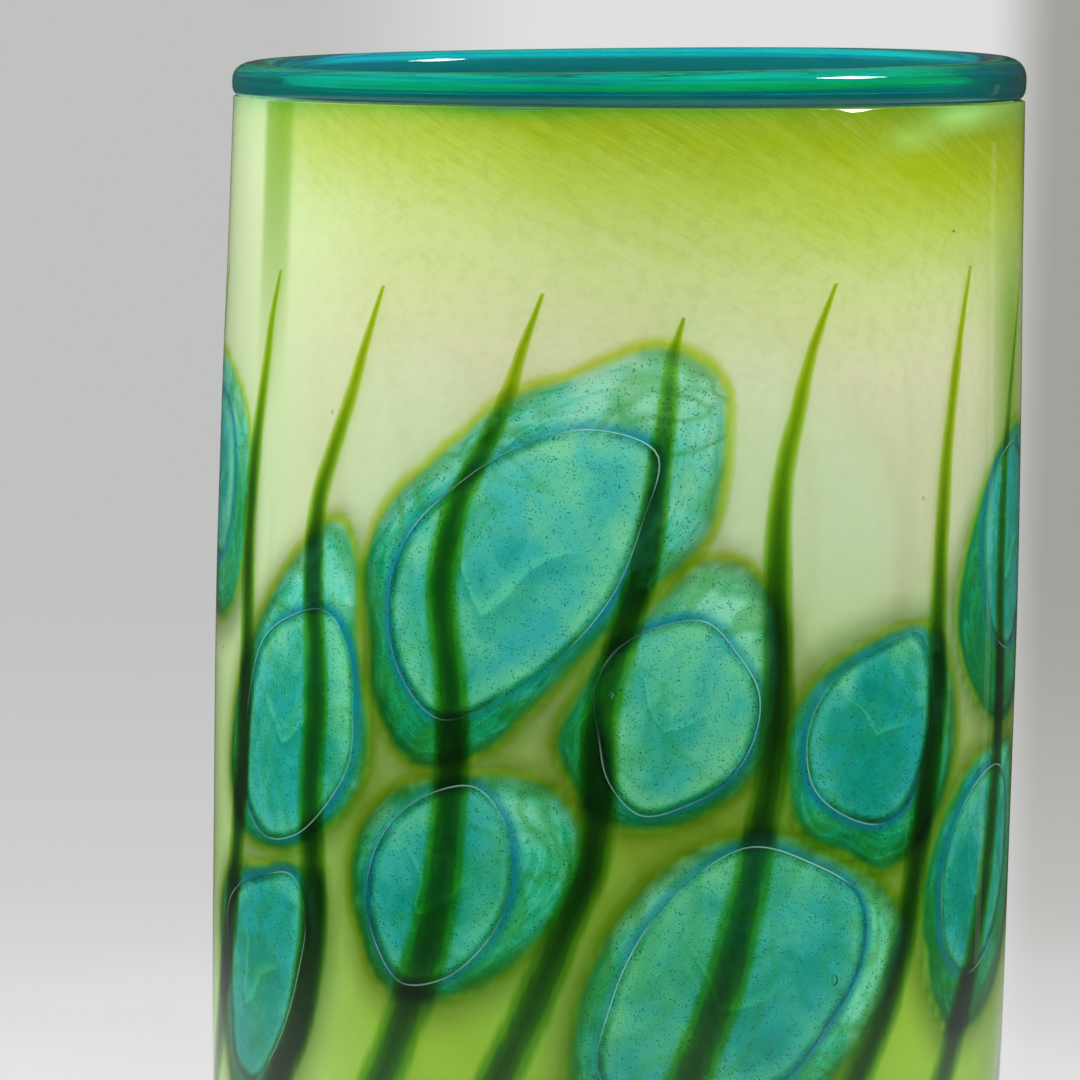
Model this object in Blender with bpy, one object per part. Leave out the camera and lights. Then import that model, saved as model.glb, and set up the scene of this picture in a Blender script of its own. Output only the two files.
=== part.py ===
"""Hand-blown art glass vase, built layer by layer as a glassblower lays it up.

A clear inner bubble is coated with lime powder, stems are trailed over it, teal
patches with turquoise cores are picked up on top, everything is cased in clear
glass and a teal bead is wrapped round the lip.

Units are metres, +Z is up, the origin is the middle of the resting face and the
best side of the vase faces -Y. Angles round the wall are degrees from that side,
positive towards +X. Drops are measured in millimetres down from the highest
point of the lip.
"""
import math

import bmesh
import bpy
from mathutils import Vector
from mathutils.geometry import interpolate_bezier

MM = 0.001
HEIGHT = 268.0                      # overall, mm
SEGMENTS = 48                       # facets round every turned piece
GAP = 0.3                           # clearance between neighbouring pieces, mm

# Outer radius of the hand-shaped barrel at some heights above the table, mm.
BARREL = ((0.0, 57.0), (30.0, 59.0), (70.0, 60.8), (113.0, 61.9), (150.0, 62.25),
          (183.0, 62.4), (215.0, 62.0), (238.0, 61.5), (268.0, 61.0))

# Depth of each layer below the outer surface of the wall, mm.
CORE_DEPTH = (1.7, 2.2)
HALO_DEPTH = (2.5, 3.0)
TRAIL_DEPTH = (3.3, 3.9)
CASING_INSIDE = 3.9
OVERLAY_DEPTH = (4.2, 4.7)
GATHER_DEPTH = (5.0, 6.2)

# Floor height and corner radius of each cup surface, mm.
CASING_OUTER_FLOOR = (0.0, 15.0)
CASING_INNER_FLOOR = (8.4, 16.0)
OVERLAY_OUTER_FLOOR = (8.7, 15.7)
OVERLAY_INNER_FLOOR = (9.2, 15.2)
GATHER_OUTER_FLOOR = (9.5, 14.9)
GATHER_INNER_FLOOR = (13.2, 13.0)
CORNER_STEPS = 4
WALL_HEIGHTS = (55.0, 95.0, 135.0, 175.0, 215.0)

# Ground resting ring and the polished pontil hollow inside it, mm.
PONTIL_RADIUS = 16.0
PONTIL_DEPTH = 1.6

# Lip: the wall stops here, and a hand-wound bead sits on it, mm.
WALL_TOP = 260.6
LIP_HEIGHT = 5.7
LIP_THICKNESS = 7.3
LIP_SWELL = 0.75                    # the bead is this much taller on its +X side
LIP_BACK_SWELL = 0.4                # and this much on its +Y side
RIM_TILT = 1.0                      # and the rim itself rises towards +X
TILT_START = 200.0                  # the wall below this height is untouched

# Stems: (angle, drop, width), tip first.
FRONT_TRAILS = (
    ((-59, 34, 0.5), (-61, 41, 1.5), (-62.5, 49, 2.4), (-65, 61, 3.4), (-66.5, 75, 4.0),
     (-66.5, 92, 4.4), (-68, 112, 4.8), (-72, 134, 5.4), (-80, 158, 6.2)),
    ((-36.5, 35, 0.5), (-39.5, 44, 1.5), (-42, 52, 2.2), (-45.5, 61, 2.9), (-48, 69, 3.4),
     (-48.5, 80, 4.0), (-47.5, 97, 4.6), (-48.5, 112, 4.8), (-47.5, 130, 5.2), (-50, 145, 5.6),
     (-55, 155, 6.2)),
    ((-11.5, 35, 0.5), (-14.5, 44, 1.6), (-16.5, 51, 2.5), (-20, 59, 3.3), (-23.5, 67, 4.0),
     (-25.5, 79, 4.4), (-23.5, 95, 4.7), (-23.5, 110, 5.2), (-25, 125, 5.8), (-28, 137, 6.2),
     (-34, 153, 6.6)),
    ((8.5, 38, 0.5), (7, 44, 1.9), (6.5, 51, 2.6), (5.5, 60, 3.2), (4, 73, 3.9),
     (0.5, 86, 4.3), (-2, 98, 4.6), (-2, 108, 4.7), (-3, 119, 4.8), (-7, 130, 5.2),
     (-12, 143, 5.8), (-19, 158, 6.4)),
    ((31.5, 33, 0.5), (28, 42, 1.6), (26, 50, 2.3), (24, 59, 2.8), (23, 68, 3.4),
     (23, 79, 4.0), (23.5, 91, 4.3), (23, 103, 4.5), (21, 116, 5.0), (18.5, 129, 5.6),
     (15.5, 140, 6.0), (9, 157, 6.6)),
    ((59.5, 31, 0.5), (56.5, 43, 1.6), (54, 58, 2.4), (53, 70, 3.0), (52.5, 83, 3.6),
     (53, 97, 4.0), (51, 110, 4.3), (48.5, 124, 4.6), (44.5, 140, 5.0), (37, 155, 5.8)),
)
# The nine stems round the back share one path, started at these angles.
BACK_TIPS = (83, 108, 131, 155, 179, 204, 229, 252, 277)
BACK_PATH = ((0, 33, 0.5), (-6, 47, 1.8), (-10, 63, 2.8), (-11, 80, 3.6), (-10, 97, 4.2),
             (-11, 113, 4.6), (-15, 130, 5.2), (-26, 156, 6.2))
# From there every stem runs on to the foot in the same way: (turn, drop, width).
FOOT_RUN = ((-12, 178, 6.8), (-19, 205, 6.4), (-23, 228, 5.0), (-24, 240, 2.4))
BACK_WANDER = 1.5                   # sideways wander of neighbouring back stems, degrees

# Outlines of the ten patches on the best side, as (angle, drop) points.
HALOS = (
    ((-37, 86), (-37, 71), (-28, 62), (-15, 50), (0, 45), (8, 42), (13.5, 47), (14.5, 60),
     (11.5, 71), (5, 77.5), (-1, 84), (-9, 92.5), (-18, 102), (-28, 105), (-34.5, 100)),
    ((-8, 100), (-5, 93), (-2, 88), (3.5, 82), (8, 77), (12.5, 73.5), (18, 74.5), (22, 80),
     (23, 91), (21.5, 102), (16, 108.5), (8, 112.5), (1.5, 112.5), (-4.5, 108)),
    ((-72, 111), (-69, 98.5), (-60.5, 85.5), (-50, 74.5), (-42.5, 69.5), (-39.5, 74),
     (-39.3, 84), (-38.3, 93), (-36.8, 102), (-39.5, 111), (-49, 119), (-60, 121), (-68, 119)),
    ((-39.5, 124), (-37.5, 115.5), (-30.5, 108.5), (-19.5, 106), (-10, 106.5), (-4.5, 112.5),
     (-4, 120.5), (-8.5, 128), (-17.5, 136.5), (-26.5, 139.8), (-34, 138.5)),
    ((-4.8, 147), (-3.5, 137), (1.2, 127), (9.5, 117.5), (21.5, 113.5), (32, 117.5), (43, 124),
     (46.5, 131.5), (41.5, 141.5), (34, 151), (24, 158), (8, 161), (-3.5, 157)),
    ((25, 101), (27.5, 93.5), (35, 87.5), (48.5, 84), (54.5, 90), (57, 100.5), (54.5, 111),
     (49.5, 116.5), (42.5, 120.5), (35, 117), (27.5, 113)),
    ((-77, 134), (-70, 126.5), (-60, 124.3), (-51, 122.5), (-46.5, 125.5), (-46, 134),
     (-49, 146), (-54, 156), (-62, 161), (-71, 158.5)),
    ((57, 84), (60, 72), (67, 62), (77.5, 56), (88, 58), (95, 68), (94, 84), (86, 96),
     (75, 101), (66.5, 98.5), (60, 92)),
    ((50.5, 126), (54, 115), (61, 107.5), (70, 104.5), (79, 105), (86, 111), (87, 124),
     (81, 136), (72, 143.5), (60.5, 147.5), (53.5, 139.5)),
    ((-66.5, 66), (-68.5, 56.5), (-75, 51), (-83, 48.5), (-91, 51), (-98, 61), (-97, 75),
     (-89, 86), (-79, 88), (-70.5, 83)),
)
CORES = (
    ((-33.5, 81), (-32.5, 75), (-27.5, 67.5), (-18, 59.5), (-8.5, 55), (0, 54.5), (5, 57),
     (4, 64.5), (1.5, 74), (-3, 82.5), (-10.5, 90.5), (-20, 96.5), (-27, 98), (-31, 92.5)),
    ((-2.8, 92.5), (-1.5, 88), (3.5, 84), (8.7, 82), (12.5, 82.2), (16.5, 86.3), (20, 91.5),
     (20.2, 98), (17, 104.7), (12, 108.4), (6.5, 110.8), (2.5, 110), (-1, 104.8)),
    ((-65.5, 106), (-62, 93), (-56.5, 87), (-49, 84.5), (-42.5, 83.8), (-40.5, 88.3),
     (-39.5, 96.5), (-38.5, 102.5), (-42, 109.8), (-48.5, 117.3), (-59, 119.5), (-64.8, 115)),
    ((-36.3, 126), (-35, 118.5), (-31, 112.5), (-26, 109), (-20, 107.4), (-16, 109.5),
     (-13.7, 118), (-14.3, 124.7), (-18, 131.7), (-23.2, 136.4), (-28, 138), (-32.8, 136)),
    ((-1, 149.3), (0.6, 138), (5, 127.6), (12.4, 119), (21.7, 115), (29.5, 118.5),
     (38.2, 124.5), (39.7, 129), (36, 138), (29.7, 146.5), (23.5, 152), (10.5, 155), (3, 155)),
    ((27.6, 100.6), (29.6, 94), (34.4, 89.3), (41.4, 86.3), (48, 85.5), (50.7, 93.5),
     (50.4, 101.5), (47.4, 109), (43.5, 113.2), (37, 112.5), (30, 109)),
    ((-71.8, 132.5), (-66.5, 128), (-53, 124.3), (-48.5, 127), (-48.5, 134.5), (-51.5, 145),
     (-56.5, 153.5), (-62.3, 158), (-68.5, 155.5)),
    ((64, 74), (66.5, 64), (74, 58.5), (84, 61), (88, 71), (85, 83), (77, 90), (67.5, 86.5)),
    ((54.5, 127), (56, 117.5), (62.5, 109.8), (71, 107.5), (77.5, 111), (79, 122), (74, 132),
     (65, 138.5), (57.5, 136.5)),
    ((-73, 64), (-76, 57), (-84, 54), (-91, 60), (-92, 70), (-87, 78), (-79, 79),
     (-74, 73)),
)
# Eight more round the back repeat those shapes: (shape, turn, extra drop).
BACK_PATCHES = ((5, 67, 0), (0, 160, 0), (2, 230, 0), (9, -58, 0),
                (5, -155, 0), (3, 158, 6), (4, 172, 13), (6, -60, 0))

HALO_POINTS = 16
CORE_POINTS = 12
FACET_TURN = 8.5                    # no facet of a patch spans more than this, degrees
STEM_TURN = 7.5                     # nor does one step along a stem
BEZIER_RESOLUTION = 12              # samples between outline points before respacing


def clear_scene():
    for stale in list(bpy.data.objects):
        bpy.data.objects.remove(stale, do_unlink=True)


def glass(name, colour, roughness):
    """A Principled glass-coloured material."""
    material = bpy.data.materials.new(name)
    material.use_nodes = True
    shader = material.node_tree.nodes["Principled BSDF"]
    shader.inputs["Base Color"].default_value = (*colour, 1.0)
    shader.inputs["Roughness"].default_value = roughness
    shader.inputs["Metallic"].default_value = 0.0
    return material


def finished(bm, name, material):
    """Turn a bmesh into a named, smooth-shaded object with outward normals."""
    bmesh.ops.recalc_face_normals(bm, faces=bm.faces)
    mesh = bpy.data.meshes.new(name)
    bm.to_mesh(mesh)
    bm.free()
    for polygon in mesh.polygons:
        polygon.use_smooth = True
    body = bpy.data.objects.new(name, mesh)
    body.data.materials.append(material)
    bpy.context.scene.collection.objects.link(body)
    return body


def barrel_radius(height):
    """Outer radius of the wall at a height, both in mm, eased between stations."""
    last = len(BARREL) - 1
    clamped = min(max(height, BARREL[0][0]), BARREL[last][0])
    index = 0
    while index < last - 1 and clamped > BARREL[index + 1][0]:
        index += 1
    low_height, low_radius = BARREL[index]
    high_height, high_radius = BARREL[index + 1]
    before = BARREL[max(index - 1, 0)]
    after = BARREL[min(index + 2, last)]
    span = high_height - low_height
    low_slope = (high_radius - before[1]) / (high_height - before[0]) * span
    high_slope = (after[1] - low_radius) / (after[0] - low_height) * span
    t = (clamped - low_height) / span
    return (low_radius * (2 * t ** 3 - 3 * t ** 2 + 1) + low_slope * (t ** 3 - 2 * t ** 2 + t)
            + high_radius * (3 * t ** 2 - 2 * t ** 3) + high_slope * (t ** 3 - t ** 2))


def on_wall(angle, drop, depth):
    """The point at an angle (degrees) and a drop and depth (mm), in metres."""
    height = HEIGHT - drop
    radius = barrel_radius(height) - depth
    turn = math.radians(angle)
    return Vector((radius * math.sin(turn), -radius * math.cos(turn), height)) * MM


def cup_surface(depth, floor, centre_rise=0.0):
    """One side of a cup from the middle of its floor to its rim, as (radius, height)."""
    floor_height, corner = floor
    corner_height = floor_height + corner
    corner_centre = barrel_radius(corner_height) - depth - corner
    surface = [(0.0, floor_height + centre_rise)]
    if centre_rise:
        surface += [(PONTIL_RADIUS * 0.6, floor_height + centre_rise * 0.7),
                    (PONTIL_RADIUS, floor_height)]
    else:
        surface.append((corner_centre * 0.5, floor_height))
    for step in range(CORNER_STEPS + 1):
        turn = 0.5 * math.pi * step / CORNER_STEPS
        surface.append((corner_centre + corner * math.sin(turn),
                        corner_height - corner * math.cos(turn)))
    surface += [(barrel_radius(height) - depth, height) for height in WALL_HEIGHTS]
    surface.append((barrel_radius(WALL_TOP) - depth, WALL_TOP))
    return surface


def turned(section, closed):
    """Spin a section of (radius, height) points, in mm, about the Z axis."""
    bm = bmesh.new()
    verts = [bm.verts.new((radius * MM, 0.0, height * MM)) for radius, height in section]
    edges = [bm.edges.new(pair) for pair in zip(verts, verts[1:])]
    if closed:
        edges.append(bm.edges.new((verts[-1], verts[0])))
    bmesh.ops.spin(bm, geom=verts + edges, cent=(0, 0, 0), axis=(0, 0, 1),
                   angle=2 * math.pi, steps=SEGMENTS, use_merge=True)
    bmesh.ops.remove_doubles(bm, verts=bm.verts, dist=0.001 * MM)
    return bm


def tilt_rim(bm):
    """Let the rim rise gently towards +X, as a hand-finished lip does."""
    for vert in bm.verts:
        reach = (vert.co.z / MM - TILT_START) / (WALL_TOP - TILT_START)
        if reach > 0.0:
            sideways = vert.co.x / (barrel_radius(WALL_TOP) * MM)
            vert.co.z += RIM_TILT * MM * sideways * min(reach, 1.0) ** 2


def cup(name, outer, inner, material):
    """A nested cup of glass between two surfaces that share a rim."""
    bm = turned(outer + inner[::-1], closed=False)
    tilt_rim(bm)
    return finished(bm, name, material)


def lip_bead(name, material):
    """The bead wound on the rim: flush outside, proud inside, taller at +X and +Y."""
    base = WALL_TOP + GAP
    outer = barrel_radius(WALL_TOP)
    inner = outer - LIP_THICKNESS
    section = [(outer - 0.4, base), (outer + 0.1, base + 1.0), (outer + 0.1, base + 3.2)]
    crown = 5
    middle = 0.5 * (outer + inner)
    for step in range(crown + 1):
        turn = math.pi * step / crown
        section.append((middle + 0.46 * LIP_THICKNESS * math.cos(turn),
                        base + 3.6 + (LIP_HEIGHT - 3.6) * math.sin(turn)))
    section += [(inner, base + 1.6), (inner + 0.9, base)]
    bm = turned(section, closed=True)
    for vert in bm.verts:
        above = (vert.co.z - base * MM) / LIP_HEIGHT
        vert.co.z += above * (LIP_SWELL * vert.co.x + LIP_BACK_SWELL * vert.co.y) / (outer * MM)
    tilt_rim(bm)
    return finished(bm, name, material)


def smooth_outline(points, count):
    """A smooth closed curve through (angle, drop) points, respaced to count points."""
    dense = []
    total = len(points)
    for index in range(total):
        before, start, end, after = (Vector((*points[(index + k) % total], 0.0))
                                     for k in (-1, 0, 1, 2))
        dense += interpolate_bezier(start, start + (end - before) / 6,
                                    end - (after - start) / 6, end,
                                    BEZIER_RESOLUTION)[:-1]
    lengths = [0.0]
    for here, there in zip(dense, dense[1:] + dense[:1]):
        lengths.append(lengths[-1] + (there - here).length)
    outline = []
    cursor = 0
    for index in range(count):
        wanted = lengths[-1] * index / count
        while lengths[cursor + 1] <= wanted:
            cursor += 1
        share = (wanted - lengths[cursor]) / (lengths[cursor + 1] - lengths[cursor])
        here = dense[cursor]
        there = dense[(cursor + 1) % len(dense)]
        outline.append(here.lerp(there, share))
    return outline


def grown(outline, distance):
    """Push a closed outline outward by a distance in mm (an angle is about 1 mm)."""
    middle = sum(outline, Vector()) / len(outline)
    result = []
    for index, here in enumerate(outline):
        along = outline[(index + 1) % len(outline)] - outline[index - 1]
        normal = Vector((along.y, -along.x, 0.0)).normalized()
        if normal.dot(here - middle) < 0:
            normal.negate()
        result.append(here + normal * distance)
    return result


def add_patch(bm, outline, shallow, deep):
    """A thin sheet that follows the wall inside an outline, added as one solid."""
    middle = sum(outline, Vector()) / len(outline)
    half_turn = max(abs(point.x - middle.x) for point in outline)
    rings = max(2, math.ceil(half_turn / FACET_TURN))
    faces_of_depth = []
    for depth in (shallow, deep):
        loops = []
        for ring in range(rings, 0, -1):
            loops.append([bm.verts.new(on_wall(*middle.lerp(point, ring / rings).xy, depth))
                          for point in outline])
        centre = bm.verts.new(on_wall(*middle.xy, depth))
        for wide, narrow in zip(loops, loops[1:]):
            for k in range(len(outline)):
                bm.faces.new((wide[k - 1], wide[k], narrow[k], narrow[k - 1]))
        for k in range(len(outline)):
            bm.faces.new((loops[-1][k - 1], loops[-1][k], centre))
        faces_of_depth.append(loops[0])
    upper, lower = faces_of_depth
    for k in range(len(outline)):
        bm.faces.new((upper[k - 1], upper[k], lower[k], lower[k - 1]))


def eased_path(stations):
    """The stations with smooth steps put in wherever the path turns round the wall."""
    path = []
    last = len(stations) - 1
    for index in range(last):
        before, start, end, after = (Vector(stations[min(max(index + k, 0), last)])
                                     for k in (-1, 0, 1, 2))
        steps = max(1, math.ceil(abs(end.x - start.x) / STEM_TURN))
        path += interpolate_bezier(start, start + (end - before) / 6,
                                   end - (after - start) / 6, end, steps + 1)[:-1]
    path.append(Vector(stations[-1]))
    return path


def add_stem(bm, stations, section):
    """A tapering ribbon along (angle, drop, width), with a (side, depth) section."""
    loops = []
    for angle, drop, width in eased_path(stations):
        half = math.degrees(0.5 * width / barrel_radius(HEIGHT - drop))
        loops.append([bm.verts.new(on_wall(angle + side * half, drop, depth))
                      for side, depth in section])
    for above, below in zip(loops, loops[1:]):
        for k in range(len(above)):
            bm.faces.new((above[k - 1], above[k], below[k], below[k - 1]))
    bm.faces.new(loops[0])
    bm.faces.new(loops[-1])


def stem_section(shallow, deep):
    """The lens section of a stem, sides given as a share of its half width."""
    middle = 0.5 * (shallow + deep)
    return ((-1.0, middle), (-0.55, shallow), (0.55, shallow),
            (1.0, middle), (0.55, deep), (-0.55, deep))


def pocket_section(shallow, deep):
    """The arched section of the groove that a stem lies in."""
    shoulder = 0.35 * (deep - shallow) + shallow
    return ((-1.0, shoulder), (-0.55, shallow), (0.55, shallow),
            (1.0, shoulder), (1.0, deep), (-1.0, deep))


def stem_stations():
    """Full (angle, drop, width) stations of all fifteen stems."""
    starts = list(FRONT_TRAILS)
    for index, tip in enumerate(BACK_TIPS):
        wander = BACK_WANDER * math.sin(2.4 * index)
        starts.append(tuple((tip + turn + wander * drop / 100, drop + 3 * wander, width)
                            for turn, drop, width in BACK_PATH))
    stems = []
    for start in starts:
        last_angle = start[-1][0]
        stems.append(start + tuple((last_angle + turn, drop, width)
                                   for turn, drop, width in FOOT_RUN))
    return stems


def patch_outlines(shapes, count):
    """Outlines of all eighteen patches of one kind."""
    placed = [smooth_outline(shape, count) for shape in shapes]
    for shape, turn, drop in BACK_PATCHES:
        shift = Vector((turn, drop, 0.0))
        placed.append([point + shift for point in smooth_outline(shapes[shape], count)])
    return placed


def cut_with(body, name, bm):
    """Subtract a cutter from the body with an exact Boolean."""
    cutter = finished(bm, name, body.data.materials[0])
    cutter.hide_render = True
    cutter.display_type = "WIRE"
    cut = body.modifiers.new(name, "BOOLEAN")
    cut.operation = "DIFFERENCE"
    cut.solver = "EXACT"
    cut.object = cutter


def build():
    clear_scene()
    clear_glass = glass("clear_crystal", (0.86, 0.93, 0.90), 0.03)
    lime_glass = glass("lime_powder", (0.42, 0.56, 0.08), 0.20)
    olive_glass = glass("olive_stem", (0.07, 0.16, 0.01), 0.12)
    teal_glass = glass("teal_halo", (0.04, 0.30, 0.22), 0.12)
    turquoise_glass = glass("turquoise_core", (0.07, 0.40, 0.38), 0.12)
    lip_glass = glass("teal_lip", (0.01, 0.27, 0.24), 0.05)

    halos = patch_outlines(HALOS, HALO_POINTS)
    cores = patch_outlines(CORES, CORE_POINTS)
    stems = stem_stations()

    cup("inner_gather", cup_surface(GATHER_DEPTH[0], GATHER_OUTER_FLOOR),
        cup_surface(GATHER_DEPTH[1], GATHER_INNER_FLOOR), clear_glass)
    cup("lime_overlay", cup_surface(OVERLAY_DEPTH[0], OVERLAY_OUTER_FLOOR),
        cup_surface(OVERLAY_DEPTH[1], OVERLAY_INNER_FLOOR), lime_glass)

    for number, stations in enumerate(stems, 1):
        bm = bmesh.new()
        add_stem(bm, stations, stem_section(*TRAIL_DEPTH))
        finished(bm, f"trail_{number:02d}", olive_glass)
    for number, outline in enumerate(halos, 1):
        bm = bmesh.new()
        add_patch(bm, outline, *HALO_DEPTH)
        finished(bm, f"halo_{number:02d}", teal_glass)
    for number, outline in enumerate(cores, 1):
        bm = bmesh.new()
        add_patch(bm, outline, *CORE_DEPTH)
        finished(bm, f"core_{number:02d}", turquoise_glass)

    casing = cup("outer_casing", cup_surface(0.0, CASING_OUTER_FLOOR, PONTIL_DEPTH),
                 cup_surface(CASING_INSIDE, CASING_INNER_FLOOR), clear_glass)
    stem_pockets = bmesh.new()
    groove = pocket_section(TRAIL_DEPTH[0] - GAP, CASING_INSIDE + 2 * GAP)
    for stations in stems:
        tip_angle, tip_drop, _ = stations[0]
        foot_angle, foot_drop, _ = stations[-1]
        eased = [(angle, drop, width + 2 * GAP) for angle, drop, width in stations]
        eased[0] = (tip_angle, tip_drop - GAP, 1.0)
        eased[-1] = (foot_angle, foot_drop + GAP, eased[-1][2])
        add_stem(stem_pockets, eased, groove)
    cut_with(casing, "stem_pockets", stem_pockets)
    halo_pockets = bmesh.new()
    for outline in halos:
        add_patch(halo_pockets, grown(outline, GAP),
                  HALO_DEPTH[0] - GAP, CASING_INSIDE + 3 * GAP)
    cut_with(casing, "halo_pockets", halo_pockets)
    core_pockets = bmesh.new()
    for outline in cores:
        add_patch(core_pockets, grown(outline, GAP),
                  CORE_DEPTH[0] - GAP, CASING_INSIDE + 4 * GAP)
    cut_with(casing, "core_pockets", core_pockets)

    lip_bead("lip_wrap", lip_glass)


build()
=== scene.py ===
"""Looks of the hand-blown vase: a clear cased wall, stained layers inside it, studio light."""
import math

import bmesh
import bpy
from mathutils import Matrix, Vector


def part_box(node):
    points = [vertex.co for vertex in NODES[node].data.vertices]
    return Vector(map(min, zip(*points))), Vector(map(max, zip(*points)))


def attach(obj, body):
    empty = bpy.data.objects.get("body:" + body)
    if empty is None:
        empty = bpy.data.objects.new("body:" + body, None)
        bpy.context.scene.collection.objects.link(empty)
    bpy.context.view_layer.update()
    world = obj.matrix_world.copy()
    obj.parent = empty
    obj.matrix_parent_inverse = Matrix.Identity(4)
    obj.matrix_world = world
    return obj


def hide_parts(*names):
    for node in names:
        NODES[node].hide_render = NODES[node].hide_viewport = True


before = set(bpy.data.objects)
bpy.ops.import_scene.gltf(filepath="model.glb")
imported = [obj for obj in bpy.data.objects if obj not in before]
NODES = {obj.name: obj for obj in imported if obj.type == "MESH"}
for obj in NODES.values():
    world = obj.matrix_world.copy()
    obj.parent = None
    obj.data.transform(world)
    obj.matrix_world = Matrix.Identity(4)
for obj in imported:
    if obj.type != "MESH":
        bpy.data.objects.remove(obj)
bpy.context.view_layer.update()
TRAILS = sorted(name for name in NODES if name.startswith("trail_"))
HALOS = sorted(name for name in NODES if name.startswith("halo_"))
CORES = sorted(name for name in NODES if name.startswith("core_"))

MM = 0.001
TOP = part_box("lip_wrap")[1].z / MM          # highest point of the lip, mm

# The barrel of the vase and the build-up of its wall, as in the CAD, mm.
BARREL = ((0.0, 57.0), (30.0, 59.0), (70.0, 60.8), (113.0, 61.9), (150.0, 62.25),
          (183.0, 62.4), (215.0, 62.0), (238.0, 61.5), (268.0, 61.0))
WALL = 6.2
OVERLAY = (4.2, 4.7)
TRAIL = (3.3, 3.9)
HALO = (2.5, 3.0)
CORE = (1.7, 2.2)
WALL_TOP = 260.6
RIM_TILT = 1.0
TILT_START = 200.0
PONTIL_RADIUS = 16.0
PONTIL_DEPTH = 1.6
LIP_SINK = 0.6                      # how far the bead has sunk on to the wall, mm
WALL_END = WALL_TOP - LIP_SINK
GLASS_INDEX = 1.5


# ---------------------------------------------------------------- shape helpers

def barrel_radius(height):
    """Outer radius of the wall at a height, both in mm, eased between stations."""
    last = len(BARREL) - 1
    clamped = min(max(height, BARREL[0][0]), BARREL[last][0])
    index = 0
    while index < last - 1 and clamped > BARREL[index + 1][0]:
        index += 1
    low_height, low_radius = BARREL[index]
    high_height, high_radius = BARREL[index + 1]
    before = BARREL[max(index - 1, 0)]
    after = BARREL[min(index + 2, last)]
    span = high_height - low_height
    low_slope = (high_radius - before[1]) / (high_height - before[0]) * span
    high_slope = (after[1] - low_radius) / (after[0] - low_height) * span
    t = (clamped - low_height) / span
    return (low_radius * (2 * t ** 3 - 3 * t ** 2 + 1) + low_slope * (t ** 3 - 2 * t ** 2 + t)
            + high_radius * (3 * t ** 2 - 2 * t ** 3) + high_slope * (t ** 3 - t ** 2))


def on_wall(angle, height, depth):
    """A point on the wall: angle in degrees, height and depth in mm, result in metres."""
    radius = barrel_radius(height) - depth
    turn = math.radians(angle)
    return Vector((radius * math.sin(turn), -radius * math.cos(turn), height)) * MM


def rim_lift(angle, height):
    """How far the hand-finished rim rises or dips at an angle (degrees), in mm."""
    reach = (height - TILT_START) / (WALL_TOP - TILT_START)
    if reach <= 0.0:
        return 0.0
    return RIM_TILT * math.sin(math.radians(angle)) * min(reach, 1.0) ** 2


def new_piece(name, bm, material, replaced):
    """A finished piece that rides on the vase and stands for some CAD nodes."""
    mesh = bpy.data.meshes.new(name)
    bm.to_mesh(mesh)
    bm.free()
    mesh.polygons.foreach_set("use_smooth", [True] * len(mesh.polygons))
    mesh.materials.append(material)
    piece = bpy.data.objects.new(name, mesh)
    bpy.context.scene.collection.objects.link(piece)
    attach(piece, "root")
    if replaced:
        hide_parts(*replaced)
    return piece


def lathe(section, segments, shape=None):
    """A closed body turned from (radius, height) points that start and end on the axis."""
    bm = bmesh.new()
    rows = []
    for index, (radius, height) in enumerate(section):
        if radius < 1e-6:
            rows.append([bm.verts.new((0.0, 0.0, height * MM))])
            continue
        row = []
        for k in range(segments):
            angle = 360.0 * k / segments
            r, z = shape(angle, radius, height, index) if shape else (radius, height)
            turn = math.radians(angle)
            row.append(bm.verts.new((r * math.sin(turn) * MM, -r * math.cos(turn) * MM,
                                     z * MM)))
        rows.append(row)
    for lower, upper in zip(rows, rows[1:]):
        for k in range(segments):
            if len(lower) == 1:
                bm.faces.new((lower[0], upper[k - 1], upper[k]))
            elif len(upper) == 1:
                bm.faces.new((lower[k - 1], lower[k], upper[0]))
            else:
                bm.faces.new((lower[k - 1], lower[k], upper[k], upper[k - 1]))
    bmesh.ops.recalc_face_normals(bm, faces=bm.faces)
    return bm


CORNER_STEPS = 14


def cup_side(depth, floor, corner, wall_rows, pontil=False):
    """(radius, height) from the middle of a cup's floor up to its rim."""
    corner_height = floor + corner
    centre = barrel_radius(corner_height) - depth - corner
    if pontil:
        side = [(0.0, floor + PONTIL_DEPTH)]
        for share in (0.25, 0.5, 0.7, 0.85, 0.95):
            side.append((PONTIL_RADIUS * share, floor + PONTIL_DEPTH * (1 - share ** 2)))
        side += [(PONTIL_RADIUS + 0.1, floor), (PONTIL_RADIUS + 4.0, floor),
                 (centre - 4.0, floor)]
    else:
        side = [(0.0, floor), (centre * 0.4, floor), (centre * 0.8, floor)]
    for step in range(CORNER_STEPS + 1):
        turn = 0.5 * math.pi * step / CORNER_STEPS
        side.append((centre + corner * math.sin(turn), corner_height - corner * math.cos(turn)))
    for row in range(1, wall_rows + 1):
        height = corner_height + (WALL_END - corner_height) * row / wall_rows
        side.append((barrel_radius(height) - depth, height))
    return side


CURVE_STEPS = 16                    # steps of a curve between two of its points


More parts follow.
